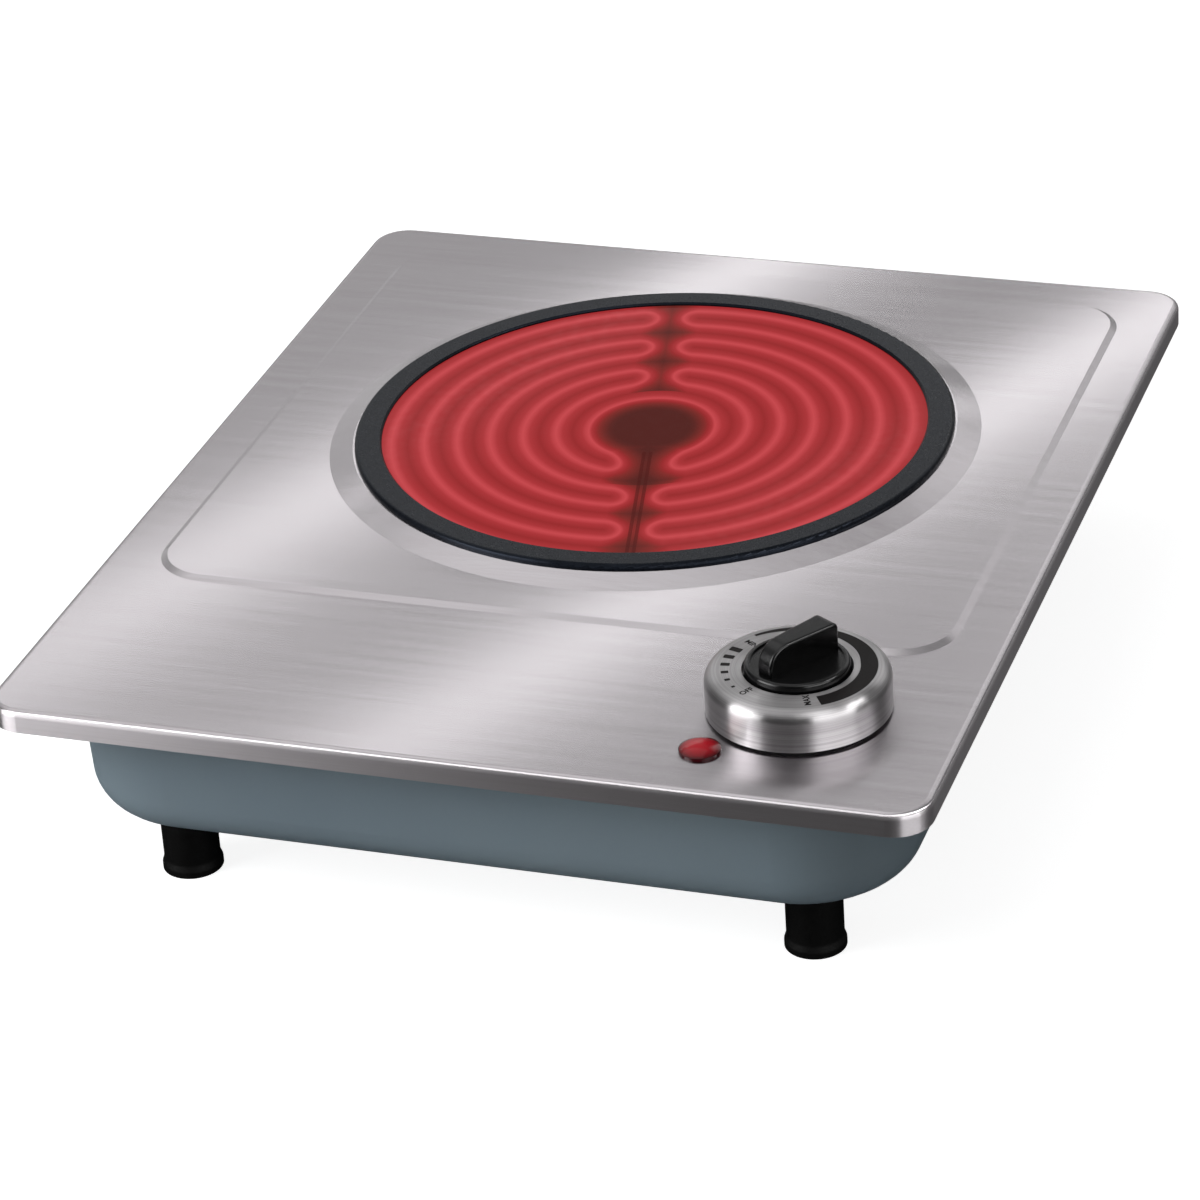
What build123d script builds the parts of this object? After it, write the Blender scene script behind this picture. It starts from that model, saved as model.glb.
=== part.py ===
from build123d import *
import os
from math import asin, cos, degrees, radians, sin, sqrt, tan

# Portable radiant hot plate: a pressed steel top over a drawn tub, with a round
# glass-ceramic window, a ribbon heater sprung up against the glass and one turning control.
# Millimetres, +Z up, front towards -Y, origin on the table under the middle of the top plate.

# Top plate
plate_width = 250.0
plate_depth = 300.0
plate_corner = 10.0
plate_sheet = 0.8
rim_height = 6.3
rim_round = 1.8

# Raised platform pressed into the plate, with its margins to the plate's edges
platform_rise = 1.0
platform_run = 1.8
platform_side_margin = 14.0
platform_back_margin = 14.0
platform_front_margin = 75.0
platform_corner = 16.0

# Tub
tub_depth = 41.7
tub_inset = 11.0
tub_sheet = 0.8
tub_corner = 32.0
tub_bottom_round = 11.0
tub_draft = 2.5

# Feet
foot_height = 20.0
foot_radius = 7.5
foot_tip_radius = 8.1
foot_tip_height = 3.4
foot_tip_round = 1.4
foot_side_margin = 39.0
foot_end_margin = 34.0
foot_recess_radius = 5.0
foot_recess_depth = 12.0

# Burner window
glass_radius = 80.6
glass_thickness = 4.0
glass_bearing = 2.1
glass_edge_gap = 0.2
seal_thickness = 0.6
seal_setback = 0.2
collar_rise = 2.2
collar_run = 6.6
crest_width = 2.0
bowl_slope = 0.5
ring_height = 1.6
ring_lip = 0.9
ring_lap = 4.3
ring_setback = 0.6
ring_outer_round = 1.1
ring_inner_bevel = 0.5
spigot_wall = 0.8
spigot_gap = 0.4
spigot_depth = 3.0

# Heater
pan_gap = 0.5
pan_sheet = 0.6
pan_lip_drop = 1.5
insulation_gap = 0.2
insulation_base = 14.0
insulation_wall = 3.0
cavity_depth = 11.8
ribbon_count = 7
ribbon_pitch = 9.17
ribbon_thickness = 1.4
ribbon_height = 5.5
ribbon_margin = 1.6
split_gap = 3.7
inner_split_gap = 7.0
split_turn = 13.4
terminal_offset = 12.0
tab_sheet = 0.8
tab_height = 4.6
tab_reach = 14.0
slot_gap = 0.3

# Overheat limiter
rod_radius = 1.5
rod_lift = 0.8
rod_start = 8.0
limiter_width = 17.0
limiter_length = 22.0
limiter_height = 13.5
limiter_cover = 0.7
limiter_gap = 0.3
limiter_round = 1.5

# Heater bridge and its bow springs
bridge_sheet = 1.2
bridge_width = 20.0
bridge_bend = 1.4
bridge_end_gap = 6.0
bridge_foot = 14.0
spring_rise = 6.8
spring_length = 40.0
spring_width = 12.0
spring_sheet = 0.6
spring_offset = 40.0
spring_gap = 0.1
stud_radius = 2.0
stud_length = 6.0

# Fasteners
nut_across = 7.0
nut_height = 3.2
thread_gap = 0.1
hole_gap = 0.25
screw_radius = 2.0
head_radius = 3.4
head_height = 2.4

# Posts that tie the tub to the plate
post_radius = 4.0
post_side_margin = 30.0
post_front_margin = 92.0
post_back_margin = 42.0
post_thread_depth = 12.0

# Dial bezel, with its margins to the plate's right and front edges
dial_side_margin = 44.0
dial_front_margin = 45.0
bezel_radius = 23.7
bezel_height = 11.0
bezel_wall = 2.6
bezel_top = 3.0
bezel_round = 3.2
bezel_boss_radius = 3.6
bezel_screw_offset = 17.0
bezel_screw_length = 12.0
gasket_height = 0.8
gasket_setback = 1.4

# Knob
knob_radius = 13.4
knob_gap = 0.7
knob_proud = 2.2
knob_skirt = 7.4
knob_rim_round = 1.0
knob_rim = 1.5
dish_depth = 0.5
hub_radius = 5.6
hub_depth = 4.0
grip_length = 22.0
grip_height = 7.5
grip_round = 0.8
nose_width = 5.0
nose_round = 6.0
tail_width = 7.4
tail_round = 1.6
pointer_angle = -122.0

# Spindle
spindle_radius = 3.0
spindle_flat = 0.8
spindle_cover = 2.0
spindle_top_gap = 0.4
bearing_gap = 0.05
bore_gap = 0.05
spindle_foot_gap = 0.4
clip_sheet = 0.4
clip_width = 3.0
clip_height = 4.6
clip_gap = 0.05

# Regulator
frame_sheet = 1.2
frame_length = 44.0
frame_depth = 30.0
frame_round = 4.0
regulator_width = 25.0
regulator_depth = 36.0
regulator_height = 22.0
regulator_round = 2.0
regulator_bore_depth = 13.0
blade_sheet = 0.8
blade_width = 6.3
blade_length = 8.0
blade_spread_x = 12.0
blade_spread_y = 20.0

# Pilot lamp, with its margins to the plate's right and front edges
lamp_side_margin = 62.3
lamp_front_margin = 19.5
lens_radius = 5.4
lens_rise = 2.0
lens_rim = 0.7
lamp_radius = 4.2
lamp_length = 20.0
lamp_hole_gap = 0.2
lamp_clip_radius = 6.2
lamp_clip_sheet = 0.6
lamp_pin_radius = 0.7
lamp_pin_length = 4.0
lamp_pin_spread = 4.0

# Cord entry, mains block and earth point at the back
entry_side_margin = 65.0
entry_height = 22.0
gland_bore = 3.6
gland_radius = 5.8
gland_flange_radius = 8.6
gland_flange = 2.0
gland_lock = 2.4
gland_gap = 0.2
block_length = 32.0
block_depth = 14.0
block_height = 12.0
block_back_margin = 36.0
block_round = 1.2
block_poles = 3
block_pitch = 10.0
earth_side_margin = 35.0
earth_back_margin = 57.0
earth_length = 9.0

# Insulated leads on the tub's floor
lead_radius = 1.2
lead_lift = 0.3
lead_bend = 9.0
lead_run = 27.0
bend_share = 0.45

# Cooling slots in the tub's floor
slot_length = 30.0
slot_width = 4.0
slot_rows = 5
slot_columns = 3
slot_row_pitch = 16.0
slot_column_pitch = 44.0

# Heights that follow from the sizes above
floor_bottom = foot_height
floor_top = floor_bottom + tub_sheet
deck_under = floor_bottom + tub_depth
deck_top = deck_under + plate_sheet
rim_bottom = deck_top - rim_height
platform_top = deck_top + platform_rise
platform_under = platform_top - plate_sheet
crest_top = platform_top + collar_rise
ring_top = crest_top + ring_height
glass_top = ring_top - ring_lip
glass_bottom = glass_top - glass_thickness
ledge_top = glass_bottom - seal_thickness
base_top = glass_bottom - cavity_depth
base_bottom = base_top - insulation_base
pan_bottom = base_bottom - pan_sheet
bridge_top = pan_bottom - spring_rise
ribbon_top = base_top + ribbon_height
rod_z = ribbon_top + rod_lift + rod_radius
bezel_base = deck_top + gasket_height
bezel_face = bezel_base + bezel_height
knob_face = bezel_face + knob_proud
frame_bottom = deck_under - frame_sheet
regulator_bottom = frame_bottom - regulator_height
lead_z = floor_top + lead_lift + lead_radius

# Radii that follow from the glass
window_radius = glass_radius - ring_lap
spigot_inner = glass_radius + glass_edge_gap
spigot_outer = spigot_inner + spigot_wall
bowl_radius = spigot_outer + spigot_gap
crest_inner = bowl_radius + bowl_slope
crest_outer = crest_inner + crest_width
ring_radius = crest_outer - ring_setback
collar_radius = crest_outer + collar_run
seat_hole = glass_radius - glass_bearing
pan_radius = seat_hole - pan_gap
insulation_radius = pan_radius - pan_sheet - insulation_gap
cavity_radius = insulation_radius - insulation_wall
ribbon_outer = cavity_radius - ribbon_margin
ribbon_inner = ribbon_outer - (ribbon_count - 1) * ribbon_pitch

# Plan sizes of the tub and of the platform
tub_width = plate_width - 2 * tub_inset
tub_length = plate_depth - 2 * tub_inset
platform_width = plate_width - 2 * platform_side_margin
platform_length = plate_depth - platform_front_margin - platform_back_margin
platform_y = (platform_front_margin - platform_back_margin) / 2
bridge_leg_x = spring_offset + spring_length / 2 + spring_width / 2 + bridge_end_gap
stud_x = bridge_leg_x + bridge_foot / 2

# Places on the plate that follow from its edges; the burner sits in the middle of the platform
plate_right = plate_width / 2
plate_left = -plate_width / 2
plate_front = -plate_depth / 2
plate_back = plate_depth / 2
burner_y = platform_y
dial_x = plate_right - dial_side_margin
dial_y = plate_front + dial_front_margin
lamp_x = plate_right - lamp_side_margin
lamp_y = plate_front + lamp_front_margin
foot_x = plate_right - foot_side_margin
foot_y = plate_back - foot_end_margin
post_x = plate_right - post_side_margin
post_front_y = plate_front + post_front_margin
post_back_y = plate_back - post_back_margin
entry_x = plate_left + entry_side_margin
block_y = plate_back - block_back_margin
earth_x = plate_left + earth_side_margin
earth_y = plate_back - earth_back_margin

UP = (Align.CENTER, Align.CENTER, Align.MIN)
burner = Pos(0, burner_y, 0)
dial = Pos(dial_x, dial_y, 0)
split = burner * Rot(0, 0, split_turn)


def disc(radius, bottom, top):
    """Upright cylinder between two heights."""
    return Pos(0, 0, bottom) * Cylinder(radius, top - bottom, align=UP)


def tube(outer, inner, bottom, top):
    """Upright pipe between two heights."""
    return disc(outer, bottom, top) - disc(inner, bottom, top)


def block(width, depth, bottom, top):
    """Upright box between two heights."""
    return Pos(0, 0, bottom) * Box(width, depth, top - bottom, align=UP)


def rounded_block(width, depth, corner, bottom, top):
    """Upright box with rounded corners in plan."""
    outline = Pos(0, 0, bottom) * RectangleRounded(width, depth, corner)
    return extrude(outline, amount=top - bottom)


def turned(points):
    """Solid of revolution about Z from a section given as radius and height."""
    outline = make_face(Polyline(*points, close=True))
    return revolve(Plane.XZ * outline, Axis.Z)


def group(solids):
    """Like pieces kept as separate solids of one node."""
    return Compound(children=[piece.solid() for piece in solids])


def hex_nut(bore, bottom):
    """Hexagon nut standing on a height."""
    outline = RegularPolygon(nut_across / 2, 6, major_radius=False)
    return extrude(Pos(0, 0, bottom) * outline, amount=nut_height) - disc(bore, bottom, bottom + nut_height)


def screw_up(seat, tip):
    """Pan-head screw that points up, with its head below the seat."""
    head = disc(head_radius, seat - head_height, seat)
    head = chamfer(head.edges().group_by(Axis.Z)[0], head_height / 3)
    return head + disc(screw_radius, seat, tip)


# Top plate

def platform_form(base, top):
    """Raised platform as a flat-topped frustum with rounded corners."""
    lower = Pos(0, platform_y, base) * RectangleRounded(platform_width, platform_length, platform_corner)
    upper = Pos(0, platform_y, top) * RectangleRounded(
        platform_width - 2 * platform_run,
        platform_length - 2 * platform_run,
        platform_corner - platform_run,
    )
    return loft([lower, upper], ruled=True)


def burner_seat():
    """Pressed collar, crest and ledge that carry the ring and the glass."""
    section = [
        (collar_radius, platform_top),
        (crest_outer, crest_top),
        (crest_inner, crest_top),
        (bowl_radius, ledge_top),
        (seat_hole, ledge_top),
        (seat_hole, ledge_top - plate_sheet),
        (bowl_radius + plate_sheet, ledge_top - plate_sheet),
        (crest_inner + plate_sheet, crest_top - plate_sheet),
        (crest_outer, crest_top - plate_sheet),
        (collar_radius, platform_under),
    ]
    return burner * turned(section)


def top_plate():
    """Pressed stainless plate with its rim, platform, burner seat and holes."""
    outer = rounded_block(plate_width, plate_depth, plate_corner, rim_bottom, deck_top)
    outer = fillet(outer.edges().group_by(Axis.Z)[-1], rim_round)
    inner = rounded_block(
        plate_width - 2 * plate_sheet,
        plate_depth - 2 * plate_sheet,
        plate_corner - plate_sheet,
        rim_bottom,
        deck_under,
    )
    inner = fillet(inner.edges().group_by(Axis.Z)[-1], rim_round - plate_sheet)
    plate = outer + platform_form(deck_top, platform_top) - inner
    plate -= platform_form(deck_under, platform_under)
    plate -= burner * disc(collar_radius, rim_bottom, crest_top)
    plate += burner_seat()
    plate -= dial * disc(hub_radius, deck_under, deck_top)
    for side in (-1, 1):
        plate -= dial * Pos(side * bezel_screw_offset) * disc(screw_radius + hole_gap, deck_under, deck_top)
    plate -= Pos(lamp_x, lamp_y) * disc(lamp_radius + lamp_hole_gap, deck_under, deck_top)
    return plate


# Tub

def tub_form(wall, bottom):
    """Drawn tub shape, taken in by a wall thickness on every side."""
    outline = Pos(0, 0, deck_under) * RectangleRounded(
        tub_width - 2 * wall,
        tub_length - 2 * wall,
        tub_corner - wall,
    )
    form = extrude(outline, amount=deck_under - bottom, dir=(0, 0, -1), taper=tub_draft)
    return fillet(form.edges().group_by(Axis.Z)[0], tub_bottom_round - wall)


def gland_place():
    """Plane on the back wall's outer face at the cord entry, facing out."""
    height = floor_bottom + entry_height
    back = tub_length / 2 - (deck_under - height) * tan(radians(tub_draft))
    tilt = Rot(-90 - tub_draft, 0, 0)
    return Pos(entry_x, back, height) * tilt


def body_tub():
    """Painted steel tub with its floor holes, cooling slots, cord hole and weld studs."""
    tub = tub_form(0, floor_bottom) - tub_form(tub_sheet, floor_top)
    for x, y in foot_places() + post_places():
        tub -= Pos(x, y) * disc(screw_radius + hole_gap, floor_bottom, floor_top)
    slot = extrude(Pos(0, 0, floor_bottom) * SlotOverall(slot_length, slot_width), amount=tub_sheet)
    for place in GridLocations(slot_column_pitch, slot_row_pitch, slot_columns, slot_rows):
        tub -= burner * place * slot
    tub -= gland_place() * Cylinder(gland_radius + gland_gap, gland_flange + gland_lock)
    for side in (-1, 1):
        tub += burner * Pos(side * stud_x) * disc(stud_radius, floor_top, floor_top + stud_length)
    return tub


def foot_places():
    """Plan positions of the four feet."""
    return [(x, y) for y in (-foot_y, foot_y) for x in (-foot_x, foot_x)]


def post_places():
    """Plan positions of the four tie posts."""
    return [(x, y) for y in (post_front_y, post_back_y) for x in (-post_x, post_x)]


def tie_post():
    """Post welded under the plate, tapped at its lower end for a tub screw."""
    return disc(post_radius, floor_top, platform_under) - disc(
        screw_radius + thread_gap, floor_top, floor_top + post_thread_depth
    )


def foot():
    """Moulded foot with a flared tip and a recess for its screw."""
    section = [
        (0, 0),
        (foot_tip_radius, 0),
        (foot_tip_radius, foot_tip_height / 2),
        (foot_radius, foot_tip_height),
        (foot_radius, foot_height),
        (0, foot_height),
    ]
    body = turned(section)
    flare = body.edges().filter_by(GeomType.CIRCLE).sort_by(Axis.Z)[1:3]
    body = fillet(flare, foot_tip_round)
    body -= disc(foot_recess_radius, 0, foot_recess_depth)
    return body - disc(screw_radius + hole_gap, foot_recess_depth, foot_height)


# Burner window

def trim_ring():
    """Black ring that laps the glass, rests on the crest and locates in the bowl."""
    section = [
        (window_radius, glass_top),
        (spigot_inner, glass_top),
        (spigot_inner, glass_top - spigot_depth),
        (spigot_outer, glass_top - spigot_depth),
        (spigot_outer, crest_top),
        (ring_radius, crest_top),
        (ring_radius, ring_top),
        (window_radius, ring_top),
    ]
    ring = turned(section)
    top_edges = ring.edges().filter_by(GeomType.CIRCLE).group_by(Axis.Z)[-1].sort_by(SortBy.RADIUS)
    ring = fillet(top_edges[-1], ring_outer_round)
    top_edges = ring.edges().filter_by(GeomType.CIRCLE).group_by(Axis.Z)[-1].sort_by(SortBy.RADIUS)
    ring = chamfer(top_edges[0], ring_inner_bevel)
    return burner * ring


def glass_seal():
    """Flat seal between the glass and its ledge."""
    return burner * tube(spigot_outer, seat_hole + seal_setback, ledge_top, glass_bottom)


# Heater

def feed_slots(inner, outer):
    """Holes through the heater's wall for the limiter rod and the two terminal tabs."""
    length = outer - inner
    middle = (inner + outer) / 2
    rod_hole = Cylinder(rod_radius + slot_gap, length, rotation=(90, 0, 0))
    holes = Pos(0, -middle, rod_z) * rod_hole
    for side in (-1, 1):
        tab_hole = block(tab_sheet + 2 * slot_gap, length, base_top, base_top + tab_height + slot_gap)
        holes += Pos(side * terminal_offset, -middle) * tab_hole
    return split * holes


def heater_pan():
    """Pressed metal dish that holds the insulation."""
    pan = disc(pan_radius, pan_bottom, glass_bottom - pan_lip_drop)
    pan -= disc(pan_radius - pan_sheet, base_bottom, glass_bottom)
    return burner * pan - feed_slots(ribbon_outer, pan_radius + pan_sheet)


def insulation_ring():
    """Pressed fibre wall that meets the glass."""
    wall = tube(insulation_radius, cavity_radius, base_top, glass_bottom)
    return burner * wall - feed_slots(ribbon_outer, pan_radius)


def turn_angle(radius, gap):
    """Angle from the split to the middle of a return bend, in degrees."""
    return degrees(asin((gap + ribbon_pitch / 2) / radius))


def return_bend(radius, angle, sweep):
    """Half circle that joins two neighbouring rings at one angle."""
    centre = (radius * cos(radians(angle)), radius * sin(radians(angle)))
    return CenterArc(centre, ribbon_pitch / 2, angle, sweep)


def ribbon_half():
    """Rings of one half, from the terminal at the front in to the second ring."""
    lines = []
    front = -90 + degrees(asin(terminal_offset / ribbon_outer))
    for step in range(ribbon_count - 1):
        radius = ribbon_outer - step * ribbon_pitch
        middle = radius - ribbon_pitch / 2
        last = step == ribbon_count - 2
        turn = turn_angle(middle, inner_split_gap if last else split_gap)
        at_back = step % 2 == 0
        if at_back:
            back = 90 - turn
            lines.append(CenterArc((0, 0), radius, front, back - front))
            lines.append(return_bend(middle, back, 180))
        else:
            front = turn - 90
            lines.append(CenterArc((0, 0), radius, back, front - back))
            lines.append(return_bend(middle, front, -180))
    return lines


def heater_ribbon():
    """One upright resistance strip laid in seven rings, folded back along the split."""
    half = ribbon_half()
    turn = turn_angle(ribbon_inner + ribbon_pitch / 2, inner_split_gap)
    ring = CenterArc((0, 0), ribbon_inner, turn - 90, 360 - 2 * turn)
    path = half + [ring] + [mirror(line, about=Plane.YZ) for line in half]
    strip = trace(path, line_width=ribbon_thickness)
    return split * Pos(0, 0, base_top) * extrude(strip, amount=ribbon_height)


def heater_terminals():
    """Two flat tabs from the ends of the ribbon out through the wall."""
    inner = sqrt((ribbon_outer + ribbon_thickness / 2) ** 2 - (terminal_offset - tab_sheet) ** 2)
    outer = pan_radius + tab_reach
    tabs = []
    for side in (-1, 1):
        tab = block(tab_sheet, outer - inner, base_top, base_top + tab_height)
        tabs.append(split * Pos(side * terminal_offset, -(inner + outer) / 2) * tab)
    return group(tabs)


def limiter_rod():
    """Expansion rod that spans the heated cavity along the split."""
    outer = pan_radius + limiter_gap
    rod = Cylinder(rod_radius, outer - rod_start, rotation=(90, 0, 0))
    return split * Pos(0, -(rod_start + outer) / 2, rod_z) * rod


def limiter_switch():
    """Moulded switch head of the overheat limiter, outside the pan."""
    top = rod_z + rod_radius + limiter_cover
    middle = pan_radius + limiter_gap + limiter_length / 2
    head = block(limiter_width, limiter_length, top - limiter_height, top)
    head = fillet(head.edges().filter_by(Axis.Z), limiter_round)
    return split * Pos(0, -middle) * head


def heater_bridge():
    """Bent strap that stands on the tub's floor over two weld studs and carries the bow springs."""
    foot_z = floor_top + bridge_sheet / 2
    top_z = bridge_top - bridge_sheet / 2
    end = bridge_leg_x + bridge_foot
    path = FilletPolyline(
        (-end, foot_z),
        (-bridge_leg_x, foot_z),
        (-bridge_leg_x, top_z),
        (bridge_leg_x, top_z),
        (bridge_leg_x, foot_z),
        (end, foot_z),
        radius=bridge_bend,
    )
    strap = extrude(Plane.XZ * trace(path, line_width=bridge_sheet), amount=bridge_width / 2, both=True)
    for side in (-1, 1):
        strap -= Pos(side * stud_x) * disc(stud_radius + hole_gap, floor_top, floor_top + bridge_sheet)
    return burner * strap


def bow_spring():
    """Bowed leaf spring that presses the pan against the glass."""
    half = spring_length / 2
    crown = pan_bottom - spring_gap - spring_sheet / 2
    seat = bridge_top + spring_sheet / 2
    bow = ThreePointArc((-half, seat), (0, crown), (half, seat))
    pads = [Line((side * half, seat), (side * (half + spring_width / 2), seat)) for side in (-1, 1)]
    strip = trace([bow] + pads, line_width=spring_sheet)
    return extrude(Plane.XZ * strip, amount=spring_width / 2, both=True)


# Dial

def dial_bezel():
    """Turned metal cup with a rounded top edge, open for the knob, with two screw bosses."""
    cup = disc(bezel_radius, bezel_base, bezel_face)
    cup = fillet(cup.edges().group_by(Axis.Z)[-1], bezel_round)
    cup -= disc(bezel_radius - bezel_wall, bezel_base, bezel_face - bezel_top)
    cup -= disc(knob_radius + knob_gap, bezel_base, bezel_face)
    for side in (-1, 1):
        place = Pos(side * bezel_screw_offset)
        cup += place * disc(bezel_boss_radius, bezel_base, bezel_face - bezel_top)
        cup -= place * disc(screw_radius + thread_gap, bezel_base, deck_under + bezel_screw_length)
    return dial * cup


def bezel_gasket():
    """Dark foam washer that sets the bezel off the plate."""
    washer = tube(bezel_radius - gasket_setback, hub_radius, deck_top, bezel_base)
    for side in (-1, 1):
        washer -= Pos(side * bezel_screw_offset) * disc(screw_radius + hole_gap, deck_top, bezel_base)
    return dial * washer


def spindle_section(gap):
    """Round section with one flat, grown by a gap."""
    radius = spindle_radius + gap
    flat_y = spindle_radius - spindle_flat + gap
    cut = Pos(0, flat_y + radius) * Rectangle(2 * radius, 2 * radius)
    return Circle(radius) - cut


def knob_grip():
    """Finger bar across the dish, narrower and rounded down at its pointing end."""
    floor = knob_face - dish_depth
    nose = grip_length / 2
    plan = make_face(
        Polyline(
            (-nose, -tail_width / 2),
            (nose, -nose_width / 2),
            (nose, nose_width / 2),
            (-nose, tail_width / 2),
            close=True,
        )
    )
    bar = extrude(Pos(0, 0, floor) * plan, amount=dish_depth + grip_height)
    nose_edge = bar.edges().filter_by(Axis.Y).group_by(Axis.Z)[-1].sort_by(Axis.X)[-1]
    bar = fillet(nose_edge, nose_round)
    tail_edge = bar.edges().filter_by(Axis.Y).group_by(Axis.Z)[-1].sort_by(Axis.X)[0]
    bar = fillet(tail_edge, tail_round)
    sides = bar.faces().filter_by(lambda face: abs(face.normal_at().Y) > 0.9)
    rims = sides.edges().filter_by(lambda edge: edge.center().Z > floor + grip_round / 2)
    return fillet(rims, grip_round)


def control_knob():
    """Black knob: rimmed disc, skirt, hub and grip in one moulding, bored for the spindle."""
    knob = disc(knob_radius, knob_face - knob_skirt, knob_face)
    knob = fillet(knob.edges().group_by(Axis.Z)[-1], knob_rim_round)
    knob -= disc(knob_radius - knob_rim, knob_face - dish_depth, knob_face)
    knob += knob_grip()
    knob += disc(hub_radius, knob_face - knob_skirt - hub_depth, knob_face - knob_skirt)
    bore = extrude(spindle_section(bore_gap), amount=spindle_top() + spindle_top_gap)
    bore += knob_clip_form(clip_gap)
    knob -= bore
    return dial * Rot(0, 0, pointer_angle) * knob


def spindle_top():
    """Height of the spindle's upper end inside the knob."""
    return knob_face - dish_depth - spindle_cover


def knob_clip_form(gap):
    """Flat spring between the spindle's flat and the bore, grown by a gap."""
    inner = spindle_radius - spindle_flat + bore_gap
    middle = inner + (clip_sheet + gap) / 2
    bottom = knob_face - knob_skirt
    strip = block(clip_width + 2 * gap, clip_sheet + gap, bottom - gap, bottom + clip_height + gap)
    return Pos(0, middle) * strip


def control_spindle():
    """Spindle with one flat, running in the regulator's bore."""
    foot_z = frame_bottom - regulator_bore_depth + spindle_foot_gap
    flat_from = bezel_base
    shaft = disc(spindle_radius, foot_z, flat_from)
    shaft += extrude(Pos(0, 0, flat_from) * spindle_section(0), amount=spindle_top() - flat_from)
    return dial * Rot(0, 0, pointer_angle) * shaft


# Regulator

def regulator_frame():
    """Steel carrier plate between the regulator and the top plate."""
    frame = rounded_block(frame_length, frame_depth, frame_round, frame_bottom, deck_under)
    frame -= disc(spindle_radius + bearing_gap, frame_bottom, deck_under)
    for side in (-1, 1):
        frame -= Pos(side * bezel_screw_offset) * disc(screw_radius + hole_gap, frame_bottom, deck_under)
    return dial * frame


def regulator_body():
    """Moulded energy regulator with a bore for the spindle."""
    body = block(regulator_width, regulator_depth, regulator_bottom, frame_bottom)
    body = fillet(body.edges().filter_by(Axis.Z), regulator_round)
    body -= disc(spindle_radius + bearing_gap, frame_bottom - regulator_bore_depth, frame_bottom)
    return dial * body


def blade_places():
    """Plan positions of the regulator's push-on blades."""
    return [
        (dial_x + x * blade_spread_x / 2, dial_y + y * blade_spread_y / 2) for y in (1, -1) for x in (-1, 1)
    ]


def regulator_blades():
    """Four push-on blades under the regulator."""
    blade = block(blade_sheet, blade_width, regulator_bottom - blade_length, regulator_bottom)
    return group([Pos(x, y) * blade for x, y in blade_places()])


# Pilot lamp

def lamp_lens():
    """Low domed red lens with a thin rim."""
    dome_radius = (lens_radius**2 + (lens_rise - lens_rim) ** 2) / (2 * (lens_rise - lens_rim))
    rim_top = deck_top + lens_rim
    dome = Pos(0, 0, deck_top + lens_rise - dome_radius) * Sphere(dome_radius)
    lens = disc(lens_radius, deck_top, rim_top)
    return Pos(lamp_x, lamp_y) * (lens + (disc(lens_radius, rim_top, deck_top + lens_rise) & dome))


def lamp_body():
    """Neon lamp holder below the lens, with two pins."""
    bottom = deck_top - lamp_length
    holder = disc(lamp_radius, bottom, deck_top)
    for side in (-1, 1):
        pin = disc(lamp_pin_radius, bottom - lamp_pin_length, bottom)
        holder += Pos(side * lamp_pin_spread / 2) * pin
    return Pos(lamp_x, lamp_y) * holder


def lamp_clip():
    """Spring washer that holds the lamp under the plate."""
    washer = tube(lamp_clip_radius, lamp_radius + bearing_gap, deck_under - lamp_clip_sheet, deck_under)
    return Pos(lamp_x, lamp_y) * washer


# Cord entry and wiring

def cord_gland():
    """Rubber grommet clipped in the back wall, with an empty bore for the mains cord."""
    inside = tub_sheet / cos(radians(tub_draft))
    section = [
        (gland_bore, -inside - gland_lock),
        (gland_flange_radius - gland_lock / 2, -inside - gland_lock),
        (gland_flange_radius - gland_lock / 2, -inside),
        (gland_radius, -inside),
        (gland_radius, 0),
        (gland_flange_radius, 0),
        (gland_flange_radius - gland_flange / 2, gland_flange),
        (gland_bore, gland_flange),
    ]
    return gland_place() * turned(section)


def mains_block():
    """Ceramic screw block on the tub's floor inside the cord entry."""
    body = block(block_length, block_depth, floor_top, floor_top + block_height)
    body = fillet(body.edges().group_by(Axis.Z)[-1], block_round)
    for x in pole_offsets():
        body -= Pos(x) * disc(screw_radius + thread_gap, floor_top + block_height / 2, floor_top + block_height)
    return Pos(entry_x, block_y) * body


def pole_offsets():
    """Offsets of the block's poles from its middle."""
    return [(pole - (block_poles - 1) / 2) * block_pitch for pole in range(block_poles)]


def block_screws():
    """Clamping screws of the mains block."""
    top = floor_top + block_height
    screw = disc(screw_radius, top - block_height / 2, top - block_round / 2)
    return group([Pos(entry_x + x, block_y) * screw for x in pole_offsets()])


def earth_stud():
    """Stud welded to the tub's floor."""
    return Pos(earth_x, earth_y) * disc(stud_radius, floor_top, floor_top + earth_length)


def lead(*points):
    """Insulated wire along straight runs with rounded corners, each as large as its runs allow."""
    runs = [(Vector(b) - Vector(a)).length for a, b in zip(points, points[1:])]
    radii = [min(lead_bend, bend_share * min(a, b)) for a, b in zip(runs, runs[1:])]
    path = FilletPolyline(*points, radius=radii)
    start = Plane(origin=path @ 0, z_dir=path % 0)
    return sweep(start * Circle(lead_radius), path=path)


def tab_end(side):
    """Plan position of the outer end of a heater terminal tab."""
    place = split * Pos(side * terminal_offset, -(pan_radius + tab_reach))
    return place.position.X, place.position.Y


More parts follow.
